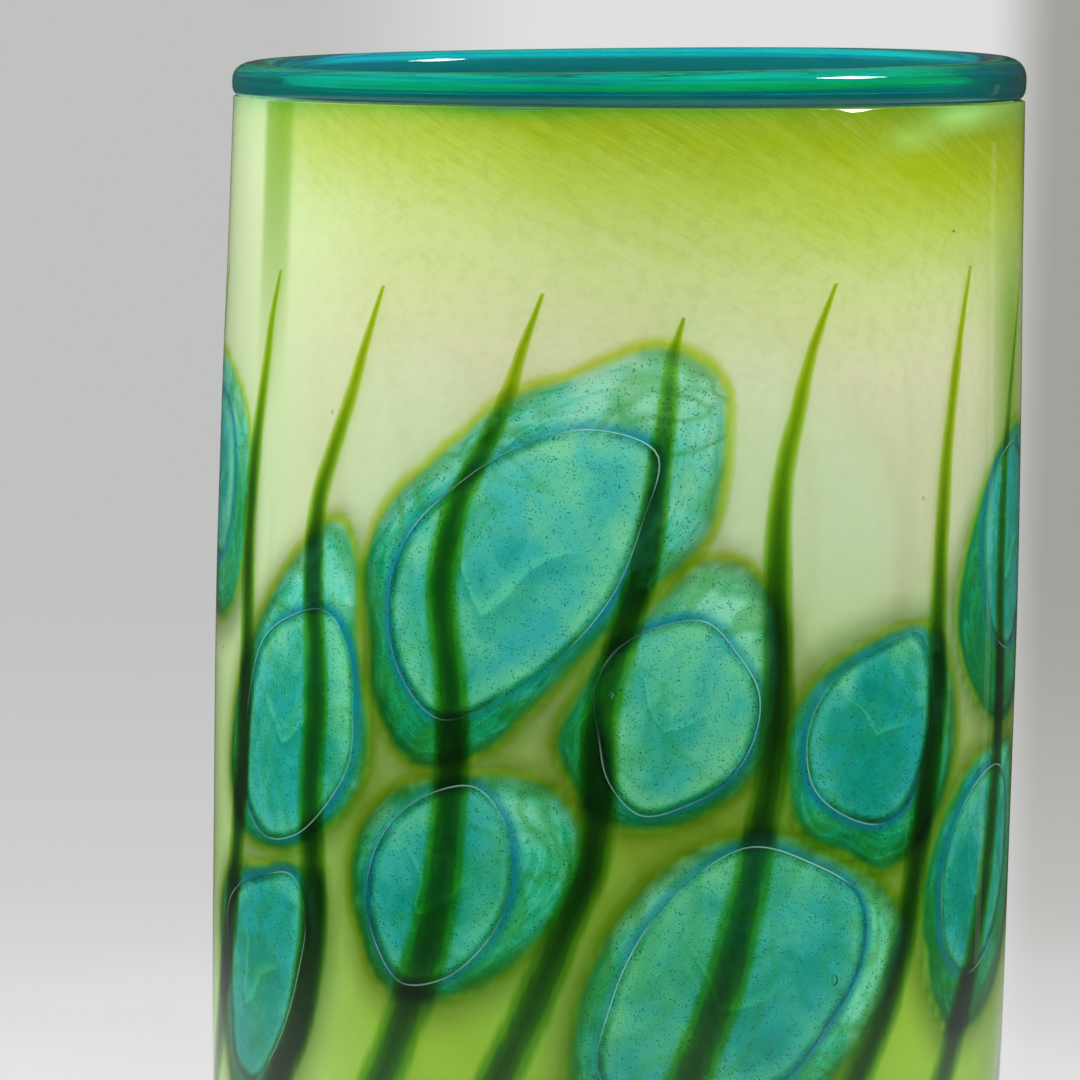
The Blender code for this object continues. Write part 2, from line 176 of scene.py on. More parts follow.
def smooth_closed(points, count):
    """A closed Catmull-Rom curve through 2-D points, respaced evenly."""
    dense = []
    total = len(points)
    for i in range(total):
        p0, p1, p2, p3 = (points[(i + k) % total] for k in (-1, 0, 1, 2))
        for step in range(CURVE_STEPS):
            t = step / CURVE_STEPS
            dense.append(0.5 * (2 * p1 + (p2 - p0) * t + (2 * p0 - 5 * p1 + 4 * p2 - p3) * t * t
                                + (3 * p1 - p0 - 3 * p2 + p3) * t ** 3))
    lengths = [0.0]
    for here, there in zip(dense, dense[1:] + dense[:1]):
        lengths.append(lengths[-1] + (there - here).length)
    result = []
    cursor = 0
    for i in range(count):
        wanted = lengths[-1] * i / count
        while lengths[cursor + 1] <= wanted:
            cursor += 1
        share = (wanted - lengths[cursor]) / (lengths[cursor + 1] - lengths[cursor])
        result.append(dense[cursor].lerp(dense[(cursor + 1) % len(dense)], share))
    return result


def smooth_open(rows, per_span):
    """Catmull-Rom through rows of numbers, with per_span steps between neighbours."""
    result = []
    last = len(rows) - 1
    for i in range(last):
        p0, p1, p2, p3 = (rows[min(max(i + k, 0), last)] for k in (-1, 0, 1, 2))
        for step in range(per_span):
            t = step / per_span
            result.append([0.5 * (2 * b + (c - a) * t + (2 * a - 5 * b + 4 * c - d) * t * t
                                  + (3 * b - a - 3 * c + d) * t ** 3)
                           for a, b, c, d in zip(p0, p1, p2, p3)])
    result.append(list(rows[-1]))
    return result


def smoothstep(low, high, value):
    """0 at low and 1 at high, eased at both ends; low may be the greater."""
    t = min(max((value - low) / (high - low), 0.0), 1.0)
    return t * t * (3 - 2 * t)


def wall_coords(node):
    """The (angle, height) of every vertex of a CAD node, unwrapped about its middle."""
    points = [v.co / MM for v in NODES[node].data.vertices]
    east = sum(p.x for p in points)
    south = sum(-p.y for p in points)
    middle = math.degrees(math.atan2(east, south))
    coords = []
    for p in points:
        angle = math.degrees(math.atan2(p.x, -p.y))
        coords.append(((angle - middle + 180.0) % 360.0 - 180.0 + middle, p.z))
    return coords


def cad_outline(node):
    """The outline of a patch in the CAD, as (angle, height) in order round its middle."""
    coords = {(round(a, 2), round(z, 2)) for a, z in wall_coords(node)}
    middle = Vector((sum(a for a, _ in coords), sum(z for _, z in coords))) / len(coords)
    spokes = {}
    for a, z in coords:
        offset = Vector((a, z)) - middle
        if offset.length < 0.5:
            continue
        bearing = math.degrees(math.atan2(offset.y, offset.x)) % 360.0
        near = [b for b in spokes if abs((b - bearing + 180.0) % 360.0 - 180.0) < 2.0]
        key = near[0] if near else bearing
        if key not in spokes or spokes[key].length < offset.length:
            spokes[key] = offset
    return middle, [middle + spokes[b] for b in sorted(spokes)]


def cad_path(node):
    """The centreline of a stem in the CAD, as (angle, height, half width in degrees)."""
    rings = {}
    for angle, height in wall_coords(node):
        key = next((h for h in rings if abs(h - height) < 0.2), height)
        rings.setdefault(key, []).append(angle)
    return [(0.5 * (min(a) + max(a)), h, 0.5 * (max(a) - min(a)))
            for h, a in sorted(rings.items(), reverse=True)]


# ------------------------------------------------------------- shader helpers

class Shader:
    """Short names for building the nodes of a material or of the world."""

    def __init__(self, name, owner=None):
        self.material = owner or bpy.data.materials.new(name)
        self.material.use_nodes = True
        self.tree = self.material.node_tree
        self.tree.nodes.clear()

    def put(self, kind, settings=None, **inputs):
        """A new node with its properties set and its inputs fed."""
        node = self.tree.nodes.new("ShaderNode" + kind)
        for key, value in (settings or {}).items():
            setattr(node, key, value)
        for key, value in inputs.items():
            self.feed(node.inputs[key.replace("_", " ")], value)
        return node

    def feed(self, socket, value):
        """Link a socket to an input, or set the input to a number or colour."""
        if isinstance(value, bpy.types.NodeSocket):
            self.tree.links.new(value, socket)
        elif isinstance(value, tuple) and len(value) == 3 and socket.type == "RGBA":
            socket.default_value = (*value, 1.0)
        else:
            socket.default_value = value

    def math(self, operation, a, b=0.0):
        node = self.tree.nodes.new("ShaderNodeMath")
        node.operation = operation
        self.feed(node.inputs[0], a)
        self.feed(node.inputs[1], b)
        return node.outputs[0]

    def mix(self, factor, a, b):
        """A colour between a and b."""
        node = self.tree.nodes.new("ShaderNodeMix")
        node.data_type = "RGBA"
        self.feed(node.inputs[0], factor)
        self.feed(node.inputs[6], a)
        self.feed(node.inputs[7], b)
        return node.outputs[2]

    def step(self, value, low, high, out_low=0.0, out_high=1.0):
        """out_low at low and out_high at high, eased and clamped; low may be the greater."""
        node = self.tree.nodes.new("ShaderNodeMapRange")
        node.interpolation_type = "SMOOTHSTEP"
        for socket, number in zip(node.inputs, (value, low, high, out_low, out_high)):
            self.feed(socket, number)
        return node.outputs[0]

    def ramp(self, value, stops, interpolation="EASE"):
        """A colour picked by a value from (place, colour) stops."""
        node = self.tree.nodes.new("ShaderNodeValToRGB")
        node.color_ramp.interpolation = interpolation
        elements = node.color_ramp.elements
        while len(elements) < len(stops):
            elements.new(0.5)
        for element, (place, colour) in zip(elements, stops):
            element.position = place
            element.color = (*colour, 1.0)
        self.feed(node.inputs[0], value)
        return node.outputs[0]

    def place(self, scale=(1.0, 1.0, 1.0)):
        """Object coordinates, stretched."""
        where = self.put("TexCoord").outputs["Object"]
        node = self.put("Mapping", Vector=where)
        node.inputs["Scale"].default_value = scale
        return node.outputs[0]

    def noise(self, vector, scale, detail=2.0, roughness=0.5, distortion=0.0):
        node = self.put("TexNoise", Vector=vector, Scale=scale, Detail=detail,
                        Roughness=roughness, Distortion=distortion)
        return node.outputs[0]

    def specks(self, where, scale, least, most):
        """Scattered specks of uneven size, thick in some places and thin in others."""
        spot = self.put("TexVoronoi", Vector=where, Scale=scale).outputs["Distance"]
        reach = self.step(self.noise(where, 0.33 * scale, 3.0, 0.7), 0.36, 0.68, least, most)
        return self.step(self.math("SUBTRACT", spot, reach), 0.03, -0.04)

    def attribute(self, name, output="Fac"):
        return self.put("Attribute", {"attribute_name": name}).outputs[output]

    def blend(self, factor, first, second):
        """A mix of two surfaces."""
        node = self.put("MixShader")
        self.feed(node.inputs[0], factor)
        self.tree.links.new(first, node.inputs[1])
        self.tree.links.new(second, node.inputs[2])
        return node.outputs[0]

    def finish(self, surface):
        out = self.put("OutputMaterial")
        self.tree.links.new(surface, out.inputs[0])
        return self.material

    def fused_glass(self, colour, tint, body, lamp, roughness=0.30):
        """Coloured glass lying inside clear glass: it tints and veils without bending light.

        Lamp light that passes through it is tinted by the plainer colour `lamp`.
        """
        lit = self.put("BsdfPrincipled", Base_Color=colour, Roughness=roughness)
        lit.inputs["Specular IOR Level"].default_value = 0.1
        through = self.put("BsdfTranslucent", Color=colour)
        milk = self.blend(0.5, lit.outputs[0], through.outputs[0])
        clear = self.put("BsdfTransparent", Color=tint)
        seen = self.blend(body, clear.outputs[0], milk)
        passing = self.put("BsdfTransparent", Color=lamp)
        shadow = self.put("LightPath").outputs["Is Shadow Ray"]
        return self.finish(self.blend(shadow, seen, passing.outputs[0]))


def light_passes(shader, surface, tint):
    """Glass that bends what is seen through it but lets lamp and scattered light by."""
    path = shader.put("LightPath")
    easy = shader.math("MAXIMUM", path.outputs["Is Shadow Ray"], path.outputs["Is Diffuse Ray"])
    clear = shader.put("BsdfTransparent", Color=tint)
    return shader.finish(shader.blend(easy, surface, clear.outputs[0]))


def clear_glass():
    """Water-clear glass with faint green drawn through it."""
    s = Shader("clear_casing_glass")
    seeds = s.noise(s.place((1.0, 1.0, 0.25)), 260.0, 3.0)
    colour = s.ramp(seeds, ((0.3, (0.965, 0.985, 0.975)), (0.7, (0.985, 0.995, 0.988))))
    glass = s.put("BsdfPrincipled", Base_Color=colour)
    glass.inputs["Transmission Weight"].default_value = 1.0
    glass.inputs["Roughness"].default_value = 0.0
    glass.inputs["IOR"].default_value = GLASS_INDEX
    return light_passes(s, glass.outputs[0], (0.97, 0.985, 0.975))


def lip_glass():
    """Teal wound on in one turn: green in the middle, lighter and bluer towards the mouth as
    bluer glass with painted backlight, with a painted highlight along its top and painted bands
    of shade and highlight round it.
    """
    s = Shader("teal_lip_glass")
    wound = s.attribute("wound", "Vector")
    streak = s.noise(wound, 1.0, 4.0, 0.65, 0.25)
    fine = s.noise(wound, 3.7, 3.0, 0.6)
    blotch = s.noise(s.place(), 38.0, 2.0)
    tone = s.math("ADD", s.math("MULTIPLY", streak, 0.55), s.math("MULTIPLY", blotch, 0.25))
    tone = s.math("ADD", tone, s.math("MULTIPLY", fine, 0.20))
    colour = s.ramp(tone, ((0.32, (0.0, 0.12, 0.26)), (0.43, (0.0, 0.34, 0.44)),
                           (0.53, (0.0, 0.52, 0.36)), (0.62, (0.0, 0.62, 0.50)),
                           (0.74, (0.0, 0.68, 0.78))))
    # Lighter and bluer towards the mouth: bluer glass there, with painted backlight where the
    # inner side is seen lit from behind.
    mouth = s.step(s.attribute("mouth"), 0.0, 0.7)
    colour = s.mix(s.math("MULTIPLY", mouth, 0.8), colour, (0.03, 0.62, 0.86))
    colour = s.mix(s.math("MULTIPLY", s.attribute("dusk"), 0.75), colour, (0.0, 0.13, 0.17))
    rolled = s.put("SeparateXYZ", Vector=wound).outputs[1]
    # A pale line painted along the bead's top edge as its highlight.
    top_edge_highlight = s.math("MULTIPLY", s.step(s.math("ABSOLUTE", s.attribute("mouth")), 0.16, 0.05),
                   s.step(rolled, 1.0, 3.0))
    colour = s.mix(s.math("MULTIPLY", top_edge_highlight, 0.8), colour, (0.62, 0.92, 0.58))
    # Bands painted round the bead for light bent through it: dark blue shade bands low down and
    # near the top, and a bright cyan highlight line near its foot.
    for roll, width, strength, shade in ((-3.6, 0.40, 0.8, (0.0, 0.08, 0.30)),
                                         (-4.7, 0.35, 0.7, (0.0, 0.72, 0.90)),
                                         (-5.4, 0.30, 0.7, (0.0, 0.16, 0.44)),
                                         (3.9, 0.50, 0.6, (0.0, 0.20, 0.40))):
        line = s.step(s.math("ABSOLUTE", s.math("SUBTRACT", rolled, roll)), width, 0.1)
        colour = s.mix(s.math("MULTIPLY", line, strength), colour, shade)
    glass = s.put("BsdfPrincipled", Base_Color=colour)
    glass.inputs["Transmission Weight"].default_value = 0.90
    glass.inputs["Roughness"].default_value = 0.0
    glass.inputs["IOR"].default_value = GLASS_INDEX
    return light_passes(s, glass.outputs[0], (0.22, 0.72, 0.68))


POWDER_SPAN = 270.0                 # the drop from the lip that the powder's colours cover, mm


def lime_powder():
    """Lime frit: thick under the lip, cream where it thins, pale behind the medallions, with
    painted edge light and shade bands at its sides.
    """
    s = Shader("lime_powder_glass")
    where = s.place()
    drop = s.attribute("drop")
    twist = s.attribute("twist", "Vector")
    sway = s.math("SUBTRACT", s.noise(where, 26.0, 3.0, 0.55), 0.5)
    brushed = s.math("SUBTRACT", s.noise(twist, 0.40, 4.0, 0.6, 0.9), 0.5)
    grain = s.noise(twist, 1.9, 3.0, 0.65, 0.7)
    level = s.math("ADD", drop, s.math("MULTIPLY", sway, 16.0))
    level = s.math("ADD", level, s.math("MULTIPLY", brushed, 10.0))
    share = s.math("DIVIDE", level, POWDER_SPAN)
    colour = s.ramp(share, ((0.015, (0.36, 0.42, 0.002)), (0.040, (0.46, 0.53, 0.010)),
                            (0.070, (0.58, 0.65, 0.13)), (0.110, (0.71, 0.74, 0.42)),
                            (0.170, (0.81, 0.76, 0.62)), (0.270, (0.76, 0.74, 0.60)),
                            (0.350, (0.64, 0.69, 0.38)), (0.420, (0.44, 0.56, 0.06)),
                            (0.560, (0.47, 0.66, 0.07)), (1.000, (0.42, 0.62, 0.07))), "LINEAR")
    dusty = s.math("MULTIPLY", s.step(grain, 0.44, 0.70), s.step(level, 75.0, 12.0, 0.03, 0.09))
    colour = s.mix(dusty, colour, (0.86, 0.90, 0.56))
    dark = s.math("MULTIPLY", s.step(grain, 0.50, 0.28), s.step(level, 60.0, 5.0, 0.02, 0.11))
    colour = s.mix(dark, colour, (0.20, 0.28, 0.0))
    mottle = s.step(s.noise(where, 520.0, 3.0, 0.7), 0.44, 0.66)
    dark = s.math("MULTIPLY", mottle, s.step(level, 80.0, 8.0, 0.03, 0.14))
    colour = s.mix(dark, colour, (0.26, 0.36, 0.01))
    # Paler cream painted down the left side of the wall, as light caught at that edge.
    left_edge_light = s.math("MULTIPLY", s.attribute("left_edge_light"), s.step(level, 12.0, 40.0, 0.2, 0.6))
    colour = s.mix(left_edge_light, colour, (0.84, 0.94, 0.70))
    # Dark green painted in two upright bands as shade where the wall is seen edge-on, left and
    # right.
    streaks_and_edge_shade = s.attribute("streaks_and_edge_shade")
    colour = s.mix(s.math("MULTIPLY", streaks_and_edge_shade, 0.92), colour, (0.30, 0.50, 0.004))
    near = s.attribute("skirt")
    colour = s.mix(s.math("MULTIPLY", near, 0.8), colour, (0.13, 0.22, 0.004))
    glow = s.attribute("glow")
    colour = s.mix(s.math("MULTIPLY", glow, 0.9), colour, (0.82, 0.96, 0.86))
    wisp = s.attribute("wisp")
    colour = s.mix(s.math("MULTIPLY", wisp, 0.75), colour, (0.66, 0.92, 0.42))
    ash = s.put("TexVoronoi", Vector=where, Scale=70.0).outputs["Distance"]
    colour = s.mix(s.step(ash, 0.020, 0.012), colour, (0.03, 0.04, 0.01))
    body = s.ramp(share, ((0.02, (0.70, 0.70, 0.70)), (0.10, (0.56, 0.56, 0.56)),
                          (0.22, (0.50, 0.50, 0.50)), (0.42, (0.60, 0.60, 0.60)),
                          (1.0, (0.60, 0.60, 0.60))))
    tint = s.mix(0.45, colour, (1.0, 1.0, 1.0))
    body = s.mix(glow, body, (0.80, 0.80, 0.80))
    return s.fused_glass(colour, tint, body, (0.40, 0.42, 0.30), 0.35)


def stem_glass():
    """Olive rods, paler and yellower where they are thin."""
    s = Shader("olive_stem_glass")
    across = s.attribute("across")
    girth = s.attribute("girth")
    fray = s.math("SUBTRACT", s.noise(s.place((1.0, 1.0, 0.25)), 380.0, 3.0), 0.5)
    streaks_and_edge_shade = s.math("SUBTRACT", s.noise(s.place((1.0, 1.0, 0.06)), 900.0, 2.0), 0.5)
    reach = s.math("ADD", across, s.math("MULTIPLY", fray, 0.28))
    reach = s.math("ADD", reach, s.math("MULTIPLY", streaks_and_edge_shade, 0.30))
    thick = s.ramp(reach, ((0.06, (0.22, 0.44, 0.03)), (0.36, (0.34, 0.55, 0.07)),
                           (0.62, (0.62, 0.80, 0.28)), (0.98, (1.0, 1.0, 1.0))))
    thin = s.ramp(reach, ((0.10, (0.64, 0.75, 0.08)), (0.50, (0.76, 0.85, 0.24)),
                          (0.95, (1.0, 1.0, 1.0))))
    tint = s.mix(s.step(girth, 2.8, 6.2), thin, thick)
    deep = s.math("MULTIPLY", s.attribute("deep"), s.step(reach, 1.0, 0.25))
    tint = s.mix(deep, tint, (0.10, 0.34, 0.02))
    lamp = s.mix(s.step(across, 0.95, 0.35), (1.0, 1.0, 1.0), (0.66, 0.78, 0.36))
    return s.fused_glass((0.08, 0.24, 0.01), tint, 0.01, lamp)


def halo_glass():
    """Speckled teal, brushed outwards, olive where it frays, dark blue beside the core as its
    outline and painted shade.
    """
    s = Shader("teal_halo_glass")
    edge = s.attribute("edge")
    tone = s.attribute("tone")
    ring = s.attribute("ring")
    face = s.attribute("face")
    fibre = s.math("SUBTRACT", s.noise(s.attribute("fibre", "Vector"), 1.0, 4.0, 0.65, 0.6), 0.5)
    where = s.place()
    cloud = s.math("SUBTRACT", s.noise(where, 60.0, 4.0, 0.6, 0.8), 0.5)
    shade = s.math("ADD", s.math("MULTIPLY", cloud, 1.1), tone)
    shade = s.math("ADD", shade, s.math("MULTIPLY", fibre, 0.9))
    stain = s.ramp(shade, ((0.05, (0.08, 0.50, 0.34)), (0.28, (0.14, 0.66, 0.56)),
                           (0.48, (0.32, 0.78, 0.76)), (0.66, (0.56, 0.87, 0.92)),
                           (0.90, (0.80, 0.95, 0.98))))
    fold = s.noise(where, 48.0, 2.0, 0.5, 1.8)
    vein = s.step(s.math("ABSOLUTE", s.math("SUBTRACT", fold, 0.5)), 0.085, 0.0)
    stain = s.mix(s.math("MULTIPLY", vein, 0.40), stain, (0.32, 0.60, 0.18))
    bruise = s.step(s.noise(where, 34.0, 3.0, 0.6, 1.2), 0.50, 0.68)
    stain = s.mix(s.math("MULTIPLY", bruise, 0.50), stain, (0.20, 0.60, 0.30))
    ragged = s.math("ADD", edge, s.math("MULTIPLY", fibre, 1.2))
    ragged = s.math("ADD", ragged, s.math("MULTIPLY", cloud, 2.2))
    stain = s.mix(s.step(ragged, -0.8, 0.8), (0.84, 0.90, 0.34), stain)
    stain = s.mix(s.step(ragged, -2.2, -0.3), (1.0, 1.0, 1.0), stain)
    # A dark blue line just outside the core: its blue outline, with painted shade as if the core
    # stood proud of the halo.
    blue_rim_and_shadow = s.math("MULTIPLY", s.step(ring, 2.0, 0.0), s.step(ring, -0.5, -0.1))
    blue_rim_and_shadow = s.math("MULTIPLY", blue_rim_and_shadow, s.step(s.noise(where, 40.0, 1.0), 0.36, 0.56, 0.45, 0.9))
    stain = s.mix(blue_rim_and_shadow, stain, (0.07, 0.52, 0.80))
    speck = s.math("MULTIPLY", s.specks(where, 2400.0, 0.10, 0.42), face)
    speck = s.math("MULTIPLY", speck, s.step(ragged, 0.3, 1.6))
    stain = s.mix(s.math("MULTIPLY", speck, 0.70), stain, (0.03, 0.26, 0.18))
    under = s.step(ring, -0.4, -1.6)
    stain = s.mix(under, stain, (0.93, 0.98, 0.97))
    haze = s.math("MULTIPLY", s.step(ragged, -0.5, 1.5), s.step(shade, 0.45, 0.95, 0.0, 0.06))
    lamp = s.mix(s.step(edge, -1.2, 0.8), (1.0, 1.0, 1.0), (0.66, 0.90, 0.88))
    return s.fused_glass((0.10, 0.62, 0.48), stain, haze, lamp)


def core_glass():
    """Turquoise pick-ups: pale at the rim with a painted highlight line, blue inside, creased
    with painted highlights and shade, finely speckled.
    """
    s = Shader("turquoise_core_glass")
    edge = s.attribute("edge")
    tone = s.attribute("tone")
    face = s.attribute("face")
    local = s.attribute("local", "Vector")
    where = s.place()
    cloud = s.math("SUBTRACT", s.noise(where, 75.0, 4.0, 0.6, 0.6), 0.5)
    shade = s.math("ADD", s.math("MULTIPLY", cloud, 1.5), tone)
    shade = s.math("ADD", shade, s.step(edge, 0.0, 5.5, -0.28, 0.08))
    stain = s.ramp(shade, ((0.04, (0.74, 0.90, 0.85)), (0.28, (0.61, 0.85, 0.85)),
                           (0.48, (0.44, 0.78, 0.85)), (0.70, (0.21, 0.69, 0.77)),
                           (0.95, (0.07, 0.64, 0.68))))
    blue = s.step(s.noise(where, 110.0, 2.0, 0.5, 0.4), 0.46, 0.66)
    stain = s.mix(s.math("MULTIPLY", blue, 0.45), stain, (0.34, 0.76, 0.98))
    axes = s.put("SeparateXYZ", Vector=local)
    warp = s.math("SUBTRACT", s.noise(local, 1.3, 1.0, 0.5, 0.2), 0.5)
    across = s.math("ADD", axes.outputs[0], s.math("MULTIPLY", warp, 0.5))
    right = s.math("MULTIPLY", s.math("MAXIMUM", across, 0.0), 0.55)
    left = s.math("MULTIPLY", s.math("MINIMUM", across, 0.0), -1.9)
    crease = s.math("SUBTRACT", axes.outputs[1], s.math("ADD", right, left))
    crease = s.math("ADD", s.math("ADD", crease, s.math("MULTIPLY", warp, 0.9)), 0.18)
    reach = s.step(s.math("ABSOLUTE", s.math("SUBTRACT", across, 0.1)), 0.50, 0.15)
    # Each crease gets a pale line painted as its highlight, and a darker band below it painted as
    # its shade.
    above = s.math("MULTIPLY", s.step(crease, -0.012, 0.012), s.step(crease, 0.11, 0.02))
    below = s.math("MULTIPLY", s.step(crease, -0.22, -0.02), s.step(crease, 0.02, -0.01))
    stain = s.mix(s.math("MULTIPLY", s.math("MULTIPLY", below, reach), 0.35), stain,
                  (0.10, 0.62, 0.62))
    stain = s.mix(s.math("MULTIPLY", s.math("MULTIPLY", above, reach), 0.45), stain,
                  (0.62, 0.94, 0.88))
    second = s.noise(local, 1.1, 1.0, 0.5, 1.0)
    fold = s.step(s.math("ABSOLUTE", s.math("SUBTRACT", second, 0.47)), 0.055, 0.004)
    stain = s.mix(s.math("MULTIPLY", fold, 0.26), stain, (0.34, 0.68, 0.38))
    speck = s.math("MULTIPLY", s.specks(where, 2500.0, 0.14, 0.40), face)
    stain = s.mix(s.math("MULTIPLY", speck, 0.75), stain, (0.02, 0.32, 0.28))
    # A pale line painted just inside the core's edge as the highlight on its rounded rim; it also
    # raises the milky share there.
    waver = s.noise(where, 62.0, 1.0)
    rim = s.step(edge, 0.30, 0.12)
    rim_highlight = s.math("MULTIPLY", rim, s.step(waver, 0.40, 0.66, 0.04, 0.34))
    rim_highlight = s.math("MULTIPLY", rim_highlight, face)
    milk = s.mix(s.step(rim_highlight, 0.0, 0.1), (0.10, 0.60, 0.56), (0.70, 1.0, 0.84))
    haze = s.math("MAXIMUM", s.step(edge, 0.0, 1.0, 0.0, 0.005), rim_highlight)
    return s.fused_glass(milk, stain, haze, (0.76, 0.94, 0.93))


TABLE_RADIUS = 0.9
TABLE_FADE = (0.42, 0.86)           # from solid to nothing, as a distance from the vase, m


def pale_floor():
    """A pale matt table that fades out towards its edge."""
    s = Shader("pale_table")
    where = s.place()
    colour = s.ramp(s.noise(where, 6.0, 3.0), ((0.3, (0.33, 0.33, 0.325)),
                                               (0.7, (0.36, 0.36, 0.355))))
    top = s.put("BsdfPrincipled", Base_Color=colour)
    top.inputs["Roughness"].default_value = 0.6
    spread = s.put("VectorMath", {"operation": "LENGTH"})
    s.feed(spread.inputs[0], where)
    gone = s.put("BsdfTransparent")
    fade = s.step(spread.outputs["Value"], *TABLE_FADE)
    return s.finish(s.blend(fade, top.outputs[0], gone.outputs[0]))


# ------------------------------------------------------------------- the vase

BODY_SEGMENTS = 192
FOOT_CORNER = 15.0                  # rounding of the outside at the foot, mm
FLOOR, FLOOR_CORNER = 13.2, 13.0    # height and rounding of the floor inside, mm


def body_ripple(angle, height):
    """Slow swells that hand shaping leaves in a wall, in mm."""
    turn = math.radians(angle)
    return (0.10 * math.sin(2 * turn + 0.8) + 0.05 * math.sin(5 * turn + height * 0.02)
            + 0.03 * math.sin(11 * turn - height * 0.035))


# Seeds: small bubbles caught in the casing, as (angle, height, depth, radius).
SEEDS = ((-0.5, 175.0, 1.2, 0.42), (12.5, 183.5, 1.1, 0.34), (33.0, 132.0, 1.0, 0.60),
         (-44.0, 214.0, 1.0, 0.25), (47.0, 203.0, 1.1, 0.25), (-27.0, 96.0, 1.2, 0.40),
         (96.0, 150.0, 1.1, 0.45), (131.0, 201.0, 1.0, 0.35), (172.0, 118.0, 1.2, 0.55),
         (205.0, 176.0, 1.1, 0.30), (248.0, 143.0, 1.0, 0.45), (8.0, 62.0, 1.2, 0.50))


def add_seed(bm, centre, radius):
    """An oval bubble, its faces turned to the air inside it."""
    ball = bmesh.ops.create_icosphere(bm, subdivisions=2, radius=radius,
                                      matrix=Matrix.Translation(centre))
    for vert in ball["verts"]:
        vert.co.z = centre.z + 1.5 * (vert.co.z - centre.z)
    faces = {face for vert in ball["verts"] for face in vert.link_faces}
    bmesh.ops.reverse_faces(bm, faces=list(faces))


def build_body():
    """The clear glass of the whole wall and base, in one piece, with its seeds."""
    outer = cup_side(0.0, 0.0, FOOT_CORNER, 44, pontil=True)
    inner = cup_side(WALL, FLOOR, FLOOR_CORNER, 40)
    count = len(outer)

    def shape(angle, radius, height, index):
        inside = index >= count
        swell = smoothstep(20.0, 70.0, height)
        ripple = body_ripple(angle + (40.0 if inside else 0.0), height)
        if not inside:
            ripple = min(ripple, 0.0)
        else:
            ripple = 1.6 * ripple
        return radius + ripple * swell, height + rim_lift(angle, height)

    lip = [(barrel_radius(WALL_END) - 0.2, WALL_END + 0.15),
           (barrel_radius(WALL_END) - WALL + 0.2, WALL_END + 0.15)]
    bm = lathe(outer + lip + inner[::-1], BODY_SEGMENTS, shape)
    for angle, height, depth, radius in SEEDS:
        add_seed(bm, on_wall(angle, height, depth), radius * MM)
    return new_piece("clear_body", bm, clear_glass(), ("outer_casing", "inner_gather"))


LIP_SEGMENTS, LIP_RING = 240, 28
LIP_WIDTH = 7.3                     # across the bead, from the mouth to the outside, mm
DUSK_ANGLE = 84.0                   # where the bead is darkest, degrees


def build_lip():
    """The teal bead: one wound loop, uneven in height, fused on the rim."""
    bm = bmesh.new()
    wound_layer = bm.verts.layers.float_vector.new("wound")
    mouth_layer = bm.verts.layers.float.new("mouth")
    dusk_layer = bm.verts.layers.float.new("dusk")
    loops = []
    outer = barrel_radius(WALL_TOP) + 0.1
    for k in range(LIP_SEGMENTS):
        angle = 360.0 * k / LIP_SEGMENTS
        turn = math.radians(angle)
        base = WALL_END + rim_lift(angle, WALL_TOP)
        tall = (6.05 + 0.70 * math.sin(turn) - 0.75 * math.cos(turn)
                + 0.08 * math.sin(3 * turn + 1.0))
        inner = outer - LIP_WIDTH - 0.12 * math.sin(2 * turn)
        middle = 0.5 * (outer + inner)
        half = 0.5 * (outer - inner)
        loop = []
        for j in range(LIP_RING):
            bearing = 2 * math.pi * j / LIP_RING
            side = math.cos(bearing)
            up = math.sin(bearing)
            if up >= 0:
                r = middle + half * math.copysign(abs(side) ** 0.8, side)
                z = base + 0.5 * tall + 0.5 * tall * abs(up) ** 0.9
            else:
                r = middle + half * math.copysign(abs(side) ** 0.5, side)
                z = base + 0.5 * tall - 0.5 * tall * abs(up) ** 0.6
            vert = bm.verts.new((r * math.sin(turn) * MM, -r * math.cos(turn) * MM, z * MM))
            roll = 6.0 * math.sin(bearing) + 1.2 * math.sin(turn + 0.6)
            vert[wound_layer] = (2.5 * math.sin(turn), roll, 2.5 * math.cos(turn)
                                 + 2.0 * math.cos(bearing))
            vert[mouth_layer] = -math.cos(bearing)
            vert[dusk_layer] = math.exp(-((angle - DUSK_ANGLE) / 20.0) ** 2)
            loop.append(vert)
        loops.append(loop)
    for k in range(LIP_SEGMENTS):
        here, there = loops[k - 1], loops[k]
        for j in range(LIP_RING):
            bm.faces.new((here[j - 1], here[j], there[j], there[j - 1]))
    bmesh.ops.recalc_face_normals(bm, faces=bm.faces)
    return new_piece("lip_bead", bm, lip_glass(), ("lip_wrap",))


HALO_SPREAD = 2.6                   # how far the frayed edge reaches past the CAD halo, mm
HALO_RISE, CORE_RISE = 0.30, -0.08  # change of tone towards the top
LAYER_STEP = 0.06                   # neighbours that overlap lie this far apart in depth, mm
FIBRE_ALONG, FIBRE_ACROSS = 0.16, 0.95   # turns of noise per mm, with the edge and across it
FAR = 9.0                           # a distance from the core that is out of its reach, mm
# How pale each patch is, from 0 to 1 in the halos and from 1 to 0 in the cores.
HALO_TONES = (0.54, 0.60, 0.52, 0.50, 0.58, 0.46, 0.34, 0.26, 0.30, 0.45)
CORE_TONES = (0.31, 0.22, 0.48, 0.60, 0.42, 0.70, 0.74, 0.74, 0.62, 0.50)
PATCH_POINTS = 112
INSETS = (0.0, 0.010, 0.025, 0.045, 0.07, 0.10, 0.14, 0.19, 0.25, 0.32, 0.40, 0.50, 0.62, 0.80)


def nearest(point, outline):
    """Distance from a point to a closed polyline."""
    best = 1e9
    for here, there in zip(outline, outline[1:] + outline[:1]):
        along = there - here
        t = min(max((point - here).dot(along) / along.length_squared, 0.0), 1.0)
        best = min(best, (point - here - along * t).length_squared)
    return math.sqrt(best)


